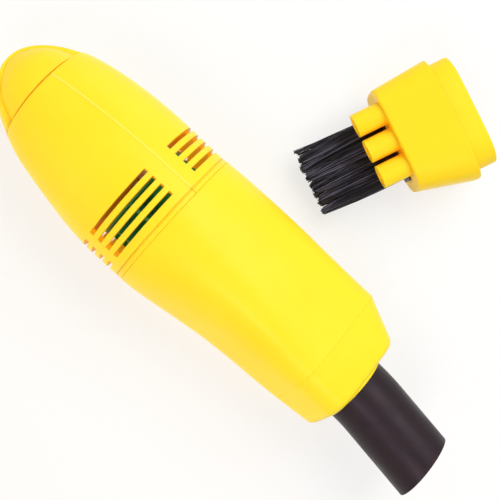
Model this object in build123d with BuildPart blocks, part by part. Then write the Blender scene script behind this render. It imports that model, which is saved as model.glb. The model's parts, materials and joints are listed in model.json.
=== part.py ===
"""A hand-sized desk vacuum cleaner with a soft nozzle, and the brush head that plugs in place of its nose.

The vacuum lies on a table on the widest ring of its body. X runs from the tail to the nozzle, Z is up, and
the origin is on the table below the joint of the shells and the dust cup, where that ring rests. Places along
the body are counted from the tail's end. All sizes are in millimetres and degrees.
"""

import os
from math import atan2, cos, hypot, pi, radians, sin, tan

from build123d import *

# How the body lies
body_roll = 20.0  # from straight up to the parting line, towards the switch side
belly_radius = 22.6

# Rear body, two half shells
tail_joint = 15.2  # where the tail cap ends and the shells start
cup_joint = 66.2  # where the shells end and the dust cup starts
tail_radius = 16.3
tail_shift = 2.2  # the tail's centre stands this far to the switch side
shell_set_back = 0.1  # the shells lie this far inside the cup's ring
shell_wall = 2.0
seam_gap = 0.12
joint_gap = 0.12
fit_gap = 0.12
# Shares of the length, of the growth from tail to shoulder, and of the tail's shift
rear_curve = [
    (0.0, 0.0, 1.0),
    (0.196, 0.484, 0.773),
    (0.431, 0.806, 0.5),
    (0.706, 0.992, 0.091),
    (0.8235, 1.0, 0.0),
    (1.0, 1.0, 0.0),
]

# Cooling slots
vent_first = 52.4
vent_pitch = 2.95
vent_width = 1.25
vent_rows = 4
vent_arcs = ((45.0, 66.0), (135.0, 66.0), (217.0, 74.0), (315.0, 66.0))  # middles from the switch side, spans
rim_groove_at = 64.4
rim_groove_width = 0.5
rim_groove_depth = 0.3

# Tail cap and the cord's inlet
band_half_width = 3.6
band_turn = 9.0  # round the axis, up on the switch side
cheek_drop = 2.3  # the cheeks lie this far inside the band at the joint
cheek_set_back = 0.5
cheek_groove = 0.8  # between the cheeks and the shells
cheek_groove_depth = 0.8
tail_wall = 1.8
spigot_length = 3.5
cord_hole_radius = 1.9
bush_wall = 0.7
bush_flange_radius = 3.1
bush_flange = 0.7
bush_pocket = 1.2
bush_gap = 0.15
tail_end_wall = 2.2
# Shares of the tail's length and radius, between the end and the joint
band_curve = [(0.16, 0.435), (0.375, 0.65), (0.642, 0.831)]
cheek_curve = [(0.19, 0.47), (0.5, 0.775)]
tail_inside_curve = [(0.19, 0.45), (0.5, 0.745)]

# Dust cup
cup_length = 56.0
cup_wall = 1.6
cup_spigot_length = 2.2
cup_spigot_gap = 0.2
cup_spigot_wall = 1.78
cup_ledge = 1.2
mouth_wall = 0.85
mouth_depth = 6.0
# Shares of the length, and of the change in side, seam, squareness and shift
cup_curve = [
    (0.0, 0.0, 0.0, 0.0, 0.0),
    (0.25, 0.36, 0.218, 0.227, 0.377),
    (0.5, 0.72, 0.437, 0.4545, 0.759),
    (0.75, 0.884, 0.732, 0.682, 0.886),
    (1.0, 1.0, 1.0, 1.0, 1.0),
]

# Nose cap
nose_length = 13.4
nose_half_side = 18.3
nose_half_seam = 15.5
nose_shift = 2.2
face_half_side = 14.9
face_half_seam = 13.0
face_shift = -0.55
face_round = 2.4
corner_power = 4.2
nose_wall = 1.4
nose_front_wall = 2.0
collar_length = 5.6
collar_wall = 1.3
collar_gap = 0.12
boss_height = 0.8
boss_wall = 0.6
boss_shift = -1.0

# Nozzle tube
tube_radius = 10.1
tube_wall = 1.1
tube_gap = 0.1
tube_reach = 30.2  # past the boss
tube_droop = 8.4
tube_bend_radius = 60.0
tube_tip_slant = 12.0  # the cut's side is shorter on the switch side
tube_tip_lean = 6.0  # and its top is shorter than its foot
tube_seat = 7.0

# Motor
motor_radius = 12.0
motor_length = 23.2
motor_front = 48.6
can_wall = 1.0
magnet_thickness = 2.2
magnet_span = 130.0
magnet_length = 14.2
magnet_gap = 1.2  # from the magnets to the can's front wall
air_gap = 0.4
shaft_radius = 1.0
shaft_play = 0.03
bearing_radius = 3.0
bearing_length = 2.6
bearing_step = 1.2  # the bearing seat stands this far out of the can
bearing_lip = 0.6
core_length = 10.6
core_hub_radius = 3.4
core_neck = 2.2
core_shoe = 1.5
core_shoe_span = 100.0
coil_half_width = 2.8
coil_height = 2.6
coil_end = 1.7
commutator_radius = 2.6
commutator_length = 2.9
commutator_gap = 0.2
brush_block = 2.0
brush_gap = 0.1
leaf_thickness = 0.4
terminal_width = 2.4
terminal_thickness = 0.5
terminal_reach = 2.4
terminal_at = 7.0
capacitor_radius = 2.4
capacitor_thickness = 1.5
capacitor_side = -6.5
capacitor_seam = 5.8

# Motor plate and its screws
plate_thickness = 2.0
plate_gap = 0.45
plate_seat = 1.8
plate_seat_thickness = 1.2
plate_screw_circle = 8.0
plate_screw_radius = 1.0
plate_screw_head = 1.9
plate_screw_head_height = 1.1
screw_slot_width = 0.5
screw_slot_depth = 0.6
cross_inset = 0.65  # from the cross recess to the edge of its head

# Cradles that hold the motor
cradle_inset = 3.0  # from the motor's back end
cradle_front_inset = 6.5
cradle_thickness = 1.6
cradle_span = 80.0

# Fan
fan_gap = 4.8  # from the fan to the shells
fan_start = 53.8
fan_plate = 1.0
fan_width = 8.8
fan_hub = 3.4
blade_count = 9
blade_thickness = 1.0
blade_root = 3.0
blade_tip_inset = 0.4
blade_sweep = 28.0

# Filter
filter_rim = 1.6
filter_depth = 2.6
filter_spoke = 1.4
filter_spoke_count = 6
filter_hub = 3.0
mesh_thickness = 0.5

# Switch
switch_at = 35.2
switch_length = 8.6
switch_width = 3.8
switch_depth = 4.2
switch_gap = 0.2
switch_rib = 1.0
switch_rib_length = 6.0
switch_rib_depth = 3.0
knob_length = 7.0
knob_width = 4.4
knob_height = 1.8
knob_travel = 3.0
knob_gap = 0.15
knob_rib_count = 5
knob_rib_pitch = 1.1
knob_rib_width = 0.5
knob_rib_depth = 0.5
stem_length = 2.4
stem_width = 1.6
stem_reach = 1.4
pocket_margin = 0.5
pocket_drop = 0.25
pin_count = 3
pin_pitch = 2.5
pin_width = 0.6
pin_length = 1.4

# Wire from the motor to the switch
lead_radius = 0.5
lead_rise = 1.9  # the wire's bend stands this far above the motor
lead_turn_in = 3.9
lead_turn_run = 0.8
lead_turn_inset = 3.0  # the wire's first bend stands this far inside the motor's side
lead_end_gap = 0.28
lead_bend_share = 0.45  # of the shorter run beside a bend

# Shell screw
boss_radius = 2.9
boss_gap = 0.7  # from the boss to the motor
screw_seat = 6.0  # the head rests this far above the parting plane
screw_radius = 1.1
screw_head_radius = 1.9
screw_head_height = 1.4
screw_grip = 8.0
screw_gap = 0.15

# Brush head
head_front = (32.2, 63.0)  # the middle of its front face, over the table
head_yaw = 68.4
head_length = 17.5
head_half_width = 19.5
head_front_half_width = 16.55
head_half_height = 15.3
head_front_half_height = 13.0
head_round = 0.7
head_wall = 1.8
head_back_shift = -1.8  # the back face stands this far to the side
head_collar_shift = -1.6
head_collar_length = 6.3
pipe_count = 3
pipe_radius = 3.6
pipe_wall = 1.1
pipe_pitch = 8.4
pipe_length = 9.0
pipe_rise = 7.6
pipe_shift = 0.5

# Bristles and the bar that holds them
bristle_length = 27.4
bristle_field_width = 22.6
bristle_field_height = 8.6
bristle_drop = 3.2
bristle_shift = -0.5
bristles_in_bunch = 5
bunch_count = 6
bristle_rows = 12
bunch_draw = 0.22  # how far a bunch's tips close up
bristle_radius = 0.28
bristle_sides = 4
bristle_spread = 0.9  # the tips stand in this share of the width of the roots
bristle_ragged = 1.6
bristle_sway = 0.3
bristle_backing = 1.0
bar_wall = 0.8
bar_depth = 3.2
bar_proud = 0.6
bar_gap = 0.08

os.makedirs("parts", exist_ok=True)

# The body's own frame: x along the axis, y to the switch side, z to the parting line
tail_origin = Vector(-cup_joint, 0, belly_radius)
side_way = Vector(0, cos(radians(body_roll)), -sin(radians(body_roll)))
seam_way = Vector(0, sin(radians(body_roll)), cos(radians(body_roll)))
parting = Plane(origin=tail_origin, x_dir=(1, 0, 0), z_dir=side_way)


def place(x, side, seam):
    """A point given along the axis, to the switch side and to the parting line."""
    return tail_origin + Vector(x, 0, 0) + side_way * side + seam_way * seam


def across(x, shift=0.0):
    """A plane square to the body at x, with its own x to the switch side and its y to the parting line."""
    return Plane(origin=place(x, shift, 0), x_dir=side_way, z_dir=(1, 0, 0))


def oval(plane, half_side, half_seam, power=corner_power):
    """One closed outline between an ellipse, at power 2, and a rounded rectangle."""
    points = []
    for step in range(24):
        angle = 2 * pi * step / 24
        reach = (abs(cos(angle) / half_side) ** power + abs(sin(angle) / half_seam) ** power) ** (-1 / power)
        points.append((reach * cos(angle), reach * sin(angle)))
    with BuildSketch(plane) as outline:
        with BuildLine():
            Spline(*points, periodic=True)
        make_face()
    return outline.sketch.face()


def ring(plane, outer_radius, inner_radius=0.0):
    """A ring's outline, or a disc's where there is no inner radius."""
    with BuildSketch(plane) as outline:
        Circle(outer_radius)
        if inner_radius > 0:
            Circle(inner_radius, mode=Mode.SUBTRACT)
    return outline.sketch.face()


def sectors(plane, inner_radius, outer_radius, span, count, start=0.0):
    """Equal pieces of a ring, spread evenly about the plane's origin."""
    with BuildSketch() as one:
        with BuildLine():
            inside = CenterArc((0, 0), inner_radius, -span / 2, span)
            outside = CenterArc((0, 0), outer_radius, -span / 2, span)
            Line(inside @ 0, outside @ 0)
            Line(inside @ 1, outside @ 1)
        make_face()
    with BuildSketch(plane) as pieces:
        with PolarLocations(0, count, start_angle=start):
            add(one.sketch)
    return pieces.sketch


def station(stations, x):
    """The values at place x, straight between the two stations beside it."""
    for low, high in zip(stations, stations[1:]):
        if x <= high[0]:
            break
    share = (x - low[0]) / (high[0] - low[0])
    return [a + (b - a) * share for a, b in zip(low[1:], high[1:])]


# Rear body: place, radius and shift to the switch side
shoulder_radius = belly_radius - shell_set_back
rear_stations = [
    (
        tail_joint + along * (cup_joint - tail_joint),
        tail_radius + growth * (shoulder_radius - tail_radius),
        shift * tail_shift,
    )
    for along, growth, shift in rear_curve
]


def rear_radius(x):
    return station(rear_stations, x)[0]


def rear_shift(x):
    return station(rear_stations, x)[1]


def rear_faces(inset):
    return [ring(across(x, shift), radius - inset) for x, radius, shift in rear_stations]


# Places on the motor, and its plate
motor_back = motor_front - motor_length
boss_at = motor_back - boss_gap - boss_radius
plate_radius = rear_radius(motor_front) - rear_shift(motor_front) - shell_wall - plate_gap
plate_front = motor_front + plate_thickness

# Places of the switch, counted from the parting plane
pocket_length = knob_length + knob_travel + 2 * pocket_margin
pocket_back = switch_at - pocket_length / 2
switch_back = switch_at - switch_length / 2
pocket_floor = rear_radius(pocket_back) + rear_shift(pocket_back) - pocket_drop
switch_top = rear_radius(switch_back) + rear_shift(switch_back) - shell_wall - switch_gap
switch_bottom = switch_top - switch_depth
knob_rest = switch_at - knob_travel / 2
slot_length = stem_length + knob_travel + 2 * knob_gap
slot_width = stem_width + 2 * knob_gap

# The rear body before it is parted, with its slots, motor cradles, plate seat, screw boss and switch ribs
with BuildPart() as rear_body:
    loft(sections=rear_faces(0))
    loft(sections=rear_faces(shell_wall), mode=Mode.SUBTRACT)
    for row in range(vent_rows):
        slot_start = vent_first + row * vent_pitch - vent_width / 2
        with BuildSketch(across(slot_start)):
            for middle, span in vent_arcs:
                slot_foot = belly_radius - 2 * shell_wall
                add(sectors(Plane.XY, slot_foot, belly_radius + shell_wall, span, 1, middle))
        extrude(amount=vent_width, mode=Mode.SUBTRACT)
    groove = ring(across(rim_groove_at), 2 * belly_radius, rear_radius(rim_groove_at) - rim_groove_depth)
    extrude(groove, amount=rim_groove_width, mode=Mode.SUBTRACT)
    for x in (motor_back + cradle_inset, motor_front - cradle_front_inset):
        with BuildSketch(across(x)):
            with Locations((rear_shift(x), 0)):
                Circle(rear_radius(x) - shell_wall / 2)
            Circle(motor_radius + fit_gap, mode=Mode.SUBTRACT)
            arms = sectors(Plane.XY, motor_radius / 2, 2 * motor_radius, cradle_span, 2, 90)
            add(arms, mode=Mode.INTERSECT)
        extrude(amount=cradle_thickness)
    seat_start = motor_front - plate_seat_thickness
    with BuildSketch(across(seat_start)):
        with Locations((rear_shift(seat_start), 0)):
            Circle(rear_radius(seat_start) - shell_wall / 2)
        Circle(plate_radius - plate_seat, mode=Mode.SUBTRACT)
    extrude(amount=plate_seat_thickness)
    boss_reach = rear_radius(boss_at) - shell_wall / 2
    with BuildSketch(parting.offset(rear_shift(boss_at) - boss_reach)):
        with Locations((boss_at, 0)):
            Circle(boss_radius)
    extrude(amount=2 * boss_reach)
    with BuildSketch(parting.offset(switch_top - switch_rib_depth)):
        rib_place = switch_width / 2 + knob_gap + switch_rib / 2
        with Locations((switch_at, rib_place), (switch_at, -rib_place)):
            Rectangle(switch_rib_length, switch_rib)
    extrude(amount=switch_rib_depth + switch_gap + shell_wall / 2)

# Upper shell, on the switch side of the parting plane
with BuildPart() as upper_shell:
    add(rear_body.part)
    split(bisect_by=parting.offset(seam_gap / 2), keep=Keep.TOP)
    with BuildSketch(parting.offset(screw_seat)):
        with Locations((boss_at, 0)):
            Circle(screw_head_radius + screw_gap)
    extrude(amount=belly_radius, mode=Mode.SUBTRACT)
    with BuildSketch(parting):
        with Locations((boss_at, 0)):
            Circle(screw_radius + screw_gap)
    extrude(amount=screw_seat + screw_head_height, mode=Mode.SUBTRACT)
    with BuildSketch(parting.offset(pocket_floor)):
        with Locations((switch_at, 0)):
            RectangleRounded(pocket_length, knob_width + 2 * pocket_margin, knob_width / 4)
    extrude(amount=belly_radius, mode=Mode.SUBTRACT)
    with BuildSketch(parting.offset(switch_bottom)):
        with Locations((switch_at, 0)):
            Rectangle(slot_length, slot_width)
    extrude(amount=belly_radius, mode=Mode.SUBTRACT)
upper_shell.part.label = "upper_shell"
export_step(upper_shell.part, "parts/upper_shell.step")

# Lower shell, on the belly side
with BuildPart() as lower_shell:
    add(rear_body.part)
    split(bisect_by=parting.offset(-seam_gap / 2), keep=Keep.BOTTOM)
    with BuildSketch(parting):
        with Locations((boss_at, 0)):
            Circle(screw_radius)
    extrude(amount=-screw_grip - screw_gap, mode=Mode.SUBTRACT)
lower_shell.part.label = "lower_shell"
export_step(lower_shell.part, "parts/lower_shell.step")


def cross_slot(plane, radius):
    """The cross recess of a screw head."""
    with BuildSketch(plane) as recess:
        Rectangle(2 * (radius - cross_inset), screw_slot_width)
        Rectangle(screw_slot_width, 2 * (radius - cross_inset))
    return recess.sketch


# Shell screw, driven from the switch side into the lower shell's boss
with BuildPart() as shell_screw:
    with BuildSketch(parting.offset(-screw_grip)):
        with Locations((boss_at, 0)):
            Circle(screw_radius)
    extrude(amount=screw_grip + screw_seat)
    with BuildSketch(parting.offset(screw_seat)):
        with Locations((boss_at, 0)):
            Circle(screw_head_radius)
    extrude(amount=screw_head_height)
    screw_top = place(boss_at, screw_seat + screw_head_height, 0)
    top_level = Plane(origin=screw_top, x_dir=(1, 0, 0), z_dir=side_way)
    extrude(cross_slot(top_level, screw_head_radius), amount=-screw_slot_depth, mode=Mode.SUBTRACT)
shell_screw.part.label = "shell_screw"
export_step(shell_screw.part, "parts/shell_screw.step")

# Tail cap: a raised band round the end, with a lower domed cheek on each side of it
tail_axis = Axis(place(0, tail_shift, 0), (1, 0, 0))
tail_level = Plane(origin=place(0, tail_shift, 0), x_dir=(1, 0, 0), z_dir=seam_way)
tail_end = tail_joint - joint_gap
cheek_radius = tail_radius - cheek_drop
spigot_radius = tail_radius - shell_wall - fit_gap
tail_inner_start = bush_pocket + tail_end_wall


def dome(points, run_on=0.0):
    """A domed half profile, blunt on the axis, that ends in a straight run."""
    (x0, r0), (x1, r1) = points[-2:]
    with BuildSketch(tail_level) as profile:
        with BuildLine():
            curve = Spline(*points, tangents=((0, 1), (x1 - x0, r1 - r0)))
            run_end = [(x1 + run_on, r1)] if run_on > 0 else []
            Polyline(curve @ 1, *run_end, (x1 + run_on, 0), curve @ 0)
        make_face()
    return profile.sketch


def dome_points(start, end, radius, curve):
    """The points of a domed profile from its start on the axis to its end."""
    between = [(start + along * (end - start), share * radius) for along, share in curve]
    return [(start, 0), *between, (end, radius)]


with BuildPart() as tail_band:
    revolve(dome(dome_points(0, tail_end, tail_radius, band_curve)), axis=tail_axis)
    band_up = seam_way * cos(radians(band_turn)) - side_way * sin(radians(band_turn))
    band_level = Plane(origin=tail_level.origin, x_dir=(1, 0, 0), z_dir=band_up)
    with BuildSketch(band_level.offset(-band_half_width)):
        Rectangle(4 * tail_joint, 4 * tail_radius)
    extrude(amount=2 * band_half_width, mode=Mode.INTERSECT)

with BuildPart() as tail_cap:
    cheek_end = tail_end - cheek_groove
    revolve(dome(dome_points(cheek_set_back, cheek_end, cheek_radius, cheek_curve)), axis=tail_axis)
    add(tail_band.part)
    extrude(ring(across(cheek_end, tail_shift), cheek_radius - cheek_groove_depth), amount=cheek_groove)
    extrude(ring(across(tail_end, tail_shift), spigot_radius), amount=joint_gap + spigot_length)
    inside = dome_points(tail_inner_start, tail_end, cheek_radius - tail_wall, tail_inside_curve)
    revolve(dome(inside, spigot_length + 2 * joint_gap), axis=tail_axis, mode=Mode.SUBTRACT)
    bush_neck_radius = cord_hole_radius + bush_wall
    hole = ring(across(0, tail_shift), bush_neck_radius)
    extrude(hole, amount=tail_joint, mode=Mode.SUBTRACT)
    pocket = ring(across(0, tail_shift), bush_flange_radius + bush_gap)
    extrude(pocket, amount=bush_pocket, mode=Mode.SUBTRACT)
    inner_pocket = ring(across(tail_inner_start, tail_shift), bush_flange_radius + bush_gap)
    extrude(inner_pocket, amount=tail_end_wall, mode=Mode.SUBTRACT)
tail_cap.part.label = "tail_cap"
export_step(tail_cap.part, "parts/tail_cap.step")

# Cord bush: the rubber ring of the cord's inlet, clipped in the tail's end wall
with BuildPart() as cord_bush:
    extrude(ring(across(bush_pocket - bush_flange, tail_shift), bush_flange_radius), amount=bush_flange)
    extrude(ring(across(bush_pocket, tail_shift), bush_neck_radius), amount=tail_end_wall)
    extrude(ring(across(tail_inner_start, tail_shift), bush_flange_radius), amount=bush_flange)
    extrude(ring(across(0, tail_shift), cord_hole_radius), amount=tail_joint, mode=Mode.SUBTRACT)
cord_bush.part.label = "cord_bush"
export_step(cord_bush.part, "parts/cord_bush.step")

# Dust cup: place, half width to the switch side, half width to the seam, squareness and shift
nose_joint = cup_joint + cup_length
cup_back = cup_joint + joint_gap
cup_stations = [
    (
        cup_back + along * (nose_joint - cup_back),
        belly_radius + side * (nose_half_side - belly_radius),
        belly_radius + seam * (nose_half_seam - belly_radius),
        2 + square * (corner_power - 2),
        shift * nose_shift,
    )
    for along, side, seam, square, shift in cup_curve
]


def cup_face(x, inset):
    half_side, half_seam, power, shift = station(cup_stations, x)
    return oval(across(x, shift), half_side - inset, half_seam - inset, power)


cup_spigot_radius = shoulder_radius - shell_wall - cup_spigot_gap
cup_spigot_start = cup_joint - cup_spigot_length
filter_radius = cup_spigot_radius - cup_spigot_wall - fit_gap
filter_start = cup_spigot_start + mesh_thickness
filter_end = filter_start + filter_depth
cup_inner_start = filter_end + cup_ledge
cup_inner_places = [cup_inner_start] + [x for x, *_ in cup_stations[1:]]
mouth_start = nose_joint - mouth_depth
mouth_half_side = nose_half_side - mouth_wall
mouth_half_seam = nose_half_seam - mouth_wall

with BuildPart() as dust_cup:
    loft(sections=[cup_face(x, 0) for x, *_ in cup_stations])
    spigot = ring(across(cup_spigot_start), cup_spigot_radius)
    extrude(spigot, amount=cup_spigot_length + cup_ledge)
    filter_bore = ring(across(cup_spigot_start), filter_radius + fit_gap)
    extrude(filter_bore, amount=filter_end - cup_spigot_start, mode=Mode.SUBTRACT)
    ledge_bore = ring(across(filter_end), filter_radius - cup_ledge)
    extrude(ledge_bore, amount=cup_ledge, mode=Mode.SUBTRACT)
    loft(sections=[cup_face(x, cup_wall) for x in cup_inner_places], mode=Mode.SUBTRACT)
    mouth = oval(across(mouth_start, nose_shift), mouth_half_side, mouth_half_seam)
    extrude(mouth, amount=mouth_depth, mode=Mode.SUBTRACT)
dust_cup.part.label = "dust_cup"
export_step(dust_cup.part, "parts/dust_cup.step")

# Filter: a spoked frame against the cup's ledge, with a fine mesh over its back
with BuildPart() as filter_frame:
    extrude(ring(across(filter_start), filter_radius, filter_radius - filter_rim), amount=filter_depth)
    with BuildSketch(across(filter_start + mesh_thickness)):
        Circle(filter_hub)
        with PolarLocations(0, filter_spoke_count // 2):
            Rectangle(2 * filter_radius - filter_rim, filter_spoke)
    extrude(amount=filter_spoke)
filter_frame.part.label = "filter_frame"
export_step(filter_frame.part, "parts/filter_frame.step")

with BuildPart() as filter_mesh:
    extrude(ring(across(filter_start), filter_radius - filter_rim), amount=mesh_thickness)
filter_mesh.part.label = "filter_mesh"
export_step(filter_mesh.part, "parts/filter_mesh.step")

# Nose cap: closes the cup with its collar and holds the tube in a sleeve
nose_start = nose_joint + joint_gap
face_at = nose_joint + nose_length
collar_half_side = mouth_half_side - collar_gap
collar_half_seam = mouth_half_seam - collar_gap
sleeve_start = face_at - tube_seat
tube_bore_radius = tube_radius + tube_gap
nose_stations = [
    (nose_start, nose_half_side, nose_half_seam, nose_shift),
    (face_at, face_half_side, face_half_seam, face_shift),
]


def nose_face(x, inset):
    half_side, half_seam, shift = station(nose_stations, x)
    return oval(across(x, shift), half_side - inset, half_seam - inset)


with BuildPart() as nose_cap:
    loft(sections=[nose_face(nose_start, 0), nose_face(face_at, 0)])
    fillet(edges().group_by(Axis.X)[-1], face_round)
    collar = oval(across(nose_start - collar_length, nose_shift), collar_half_side, collar_half_seam)
    extrude(collar, amount=collar_length)
    throat_side = collar_half_side - collar_wall
    throat_seam = collar_half_seam - collar_wall
    throat = oval(across(nose_start - collar_length, nose_shift), throat_side, throat_seam)
    extrude(throat, amount=collar_length, mode=Mode.SUBTRACT)
    hollow_end = face_at - nose_front_wall
    hollow_foot = oval(across(nose_start, nose_shift), throat_side, throat_seam)
    loft(sections=[hollow_foot, nose_face(hollow_end, nose_wall)], mode=Mode.SUBTRACT)
    sleeve = ring(across(sleeve_start, boss_shift), tube_bore_radius + boss_wall)
    extrude(sleeve, amount=tube_seat + boss_height)
    bore = ring(across(sleeve_start, boss_shift), tube_bore_radius)
    extrude(bore, amount=tube_seat + boss_height, mode=Mode.SUBTRACT)
nose_cap.part.label = "nose_cap"
export_step(nose_cap.part, "parts/nose_cap.step")

# Nozzle tube: straight in its sleeve, then a slow bend to the belly side and a slanted tip
tube_level = Plane(origin=place(0, boss_shift, 0), x_dir=(1, 0, 0), z_dir=seam_way)
boss_front = face_at + boss_height
bend_run = tube_bend_radius * sin(radians(tube_droop))
with BuildLine(tube_level) as tube_path:
    seat_line = Line((sleeve_start, 0), (boss_front, 0))
    bend = RadiusArc(
        seat_line @ 1,
        (boss_front + bend_run, -tube_bend_radius * (1 - cos(radians(tube_droop)))),
        tube_bend_radius,
    )
    tip_slope = hypot(tan(radians(tube_tip_slant)), tan(radians(tube_tip_lean)))
    last_run = tube_reach - bend_run + tube_radius * tip_slope
    PolarLine(bend @ 1, last_run, -tube_droop)
tube_tip = tube_path.line @ 1
tip_turn = radians(tube_tip_slant - tube_droop)
tip_way = Vector(cos(tip_turn), 0, tan(radians(tube_tip_lean))) + side_way * sin(tip_turn)
tip_cut = Plane(origin=tube_tip - (tube_path.line % 1) * tube_radius * tip_slope, z_dir=tip_way)
with BuildPart() as nozzle_tube:
    sweep(ring(across(sleeve_start, boss_shift), tube_radius, tube_radius - tube_wall), path=tube_path.line)
    split(bisect_by=tip_cut, keep=Keep.BOTTOM)
nozzle_tube.part.label = "nozzle_tube"
export_step(nozzle_tube.part, "parts/nozzle_tube.step")

# Motor can: a drawn steel cup, open at the back, with the front bearing's seat standing out of it
can_inner_radius = motor_radius - can_wall
front_wall_start = motor_front - can_wall
front_seat_end = motor_front + bearing_step
front_bearing_start = front_seat_end - bearing_lip - bearing_length
lip_radius = shaft_radius + bearing_lip
with BuildPart() as motor_can:
    extrude(ring(across(motor_back), motor_radius, can_inner_radius), amount=motor_length)
    extrude(ring(across(front_wall_start), can_inner_radius), amount=can_wall)
    extrude(ring(across(front_wall_start), bearing_radius + can_wall), amount=can_wall + bearing_step)
    front_seat = ring(across(front_wall_start), bearing_radius)
    extrude(front_seat, amount=can_wall + bearing_step - bearing_lip, mode=Mode.SUBTRACT)
    extrude(ring(across(front_wall_start), lip_radius), amount=can_wall + bearing_step, mode=Mode.SUBTRACT)
    with BuildSketch(across(front_wall_start)):
        with Locations((0, plate_screw_circle), (0, -plate_screw_circle)):
            Circle(plate_screw_radius)
    extrude(amount=can_wall, mode=Mode.SUBTRACT)
motor_can.part.label = "motor_can"
export_step(motor_can.part, "parts/motor_can.step")

# Magnets: two arcs against the can's wall
magnet_start = front_wall_start - magnet_gap - magnet_length
magnet_inner_radius = can_inner_radius - magnet_thickness
with BuildPart() as motor_magnets:
    arcs = sectors(across(magnet_start), magnet_inner_radius, can_inner_radius, magnet_span, 2, 90)
    extrude(arcs, amount=magnet_length)
motor_magnets.part.label = "motor_magnets"
export_step(motor_magnets.part, "parts/motor_magnets.step")

# End cap: plastic, holds the rear bearing, the brushes and the terminals
end_cap_thickness = bearing_lip + bearing_length
end_cap_front = motor_back + end_cap_thickness
rear_bearing_start = motor_back + bearing_lip
with BuildPart() as motor_end_cap:
    extrude(ring(across(motor_back), can_inner_radius), amount=end_cap_thickness)
    extrude(ring(across(rear_bearing_start), bearing_radius), amount=bearing_length, mode=Mode.SUBTRACT)
    with BuildSketch(across(motor_back)):
        with Locations((0, terminal_at), (0, -terminal_at)):
            Rectangle(terminal_width, terminal_thickness)
    extrude(amount=end_cap_thickness, mode=Mode.SUBTRACT)
motor_end_cap.part.label = "motor_end_cap"
export_step(motor_end_cap.part, "parts/motor_end_cap.step")

# Terminals: two brass tabs through the end cap
with BuildPart() as motor_terminals:
    with BuildSketch(across(motor_back - terminal_reach)):
        with Locations((0, terminal_at), (0, -terminal_at)):
            Rectangle(terminal_width, terminal_thickness)
    extrude(amount=terminal_reach + end_cap_thickness)
motor_terminals.part.label = "motor_terminals"
export_step(motor_terminals.part, "parts/motor_terminals.step")

# Bushings: one in the can's front seat, one in the end cap
with BuildPart() as front_bushing:
    sleeve = ring(across(front_bearing_start), bearing_radius, shaft_radius + shaft_play)
    extrude(sleeve, amount=bearing_length)
front_bushing.part.label = "front_bushing"
export_step(front_bushing.part, "parts/front_bushing.step")

with BuildPart() as rear_bushing:
    sleeve = ring(across(rear_bearing_start), bearing_radius, shaft_radius + shaft_play)
    extrude(sleeve, amount=bearing_length)
rear_bushing.part.label = "rear_bushing"
export_step(rear_bushing.part, "parts/rear_bushing.step")

# Places along the shaft
core_start = magnet_start + (magnet_length - core_length) / 2
core_radius = magnet_inner_radius - air_gap
coil_start = core_start - coil_end
commutator_start = coil_start - commutator_gap - commutator_length
shaft_start = rear_bearing_start + shaft_play
fan_end = fan_start + fan_width
fan_radius = shoulder_radius - shell_wall - fan_gap

# Brushes: a carbon block each side of the commutator, on a spring leaf from the end cap
block_start = commutator_start + (commutator_length - brush_block) / 2
block_place = commutator_radius + brush_gap + brush_block / 2
leaf_place = block_place + brush_block / 2 + leaf_thickness / 2
with BuildPart() as motor_brushes:
    with BuildSketch(across(block_start)):
        with Locations((block_place, 0), (-block_place, 0)):
            Rectangle(brush_block, brush_block)
    extrude(amount=brush_block)
    with BuildSketch(across(end_cap_front)):
        with Locations((leaf_place, 0), (-leaf_place, 0)):
            Rectangle(leaf_thickness, brush_block)
    extrude(amount=block_start + brush_block - end_cap_front)
motor_brushes.part.label = "motor_brushes"
export_step(motor_brushes.part, "parts/motor_brushes.step")

# Capacitor: a disc against the end cap, beside one terminal
with BuildPart() as motor_capacitor:
    with BuildSketch(across(motor_back - fit_gap - capacitor_thickness)):
        with Locations((capacitor_side, capacitor_seam)):
            Circle(capacitor_radius)
    extrude(amount=capacitor_thickness)
motor_capacitor.part.label = "motor_capacitor"
export_step(motor_capacitor.part, "parts/motor_capacitor.step")

# Shaft, from the rear bearing to the front of the fan
with BuildPart() as motor_shaft:
    extrude(ring(across(shaft_start), shaft_radius), amount=fan_end - shaft_start)
motor_shaft.part.label = "motor_shaft"
export_step(motor_shaft.part, "parts/motor_shaft.step")

# Armature core: three poles with curved shoes
shoe_inner_radius = core_radius - core_shoe
neck_end = core_radius - core_shoe / 2
with BuildPart() as armature_core:
    with BuildSketch(across(core_start)):
        Circle(core_hub_radius)
        with PolarLocations((shaft_radius + neck_end) / 2, 3):
            Rectangle(neck_end - shaft_radius, core_neck)
        add(sectors(Plane.XY, shoe_inner_radius, core_radius, core_shoe_span, 3))
        Circle(shaft_radius, mode=Mode.SUBTRACT)
    extrude(amount=core_length)
armature_core.part.label = "armature_core"
export_step(armature_core.part, "parts/armature_core.step")

# Windings: a coil round each neck
coil_place = core_hub_radius + commutator_gap + coil_height / 2
with BuildPart() as armature_windings:
    with BuildSketch(across(coil_start)):
        with PolarLocations(coil_place, 3):
            Rectangle(coil_height, 2 * coil_half_width)
    extrude(amount=core_length + 2 * coil_end)
    with BuildSketch(across(core_start)):
        with PolarLocations(coil_place, 3):
            Rectangle(2 * coil_height, core_neck)
    extrude(amount=core_length, mode=Mode.SUBTRACT)
armature_windings.part.label = "armature_windings"
export_step(armature_windings.part, "parts/armature_windings.step")

# Commutator
with BuildPart() as commutator:
    extrude(ring(across(commutator_start), commutator_radius, shaft_radius), amount=commutator_length)
commutator.part.label = "commutator"
export_step(commutator.part, "parts/commutator.step")


def blade_point(radius, side):
    """A point on one side of the first blade, which sweeps back as it goes out."""
    share = (radius - blade_root) / (fan_radius - blade_root)
    turn = side * blade_thickness / (2 * radius) - radians(blade_sweep) * share
    return (radius * cos(turn), radius * sin(turn))


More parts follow.
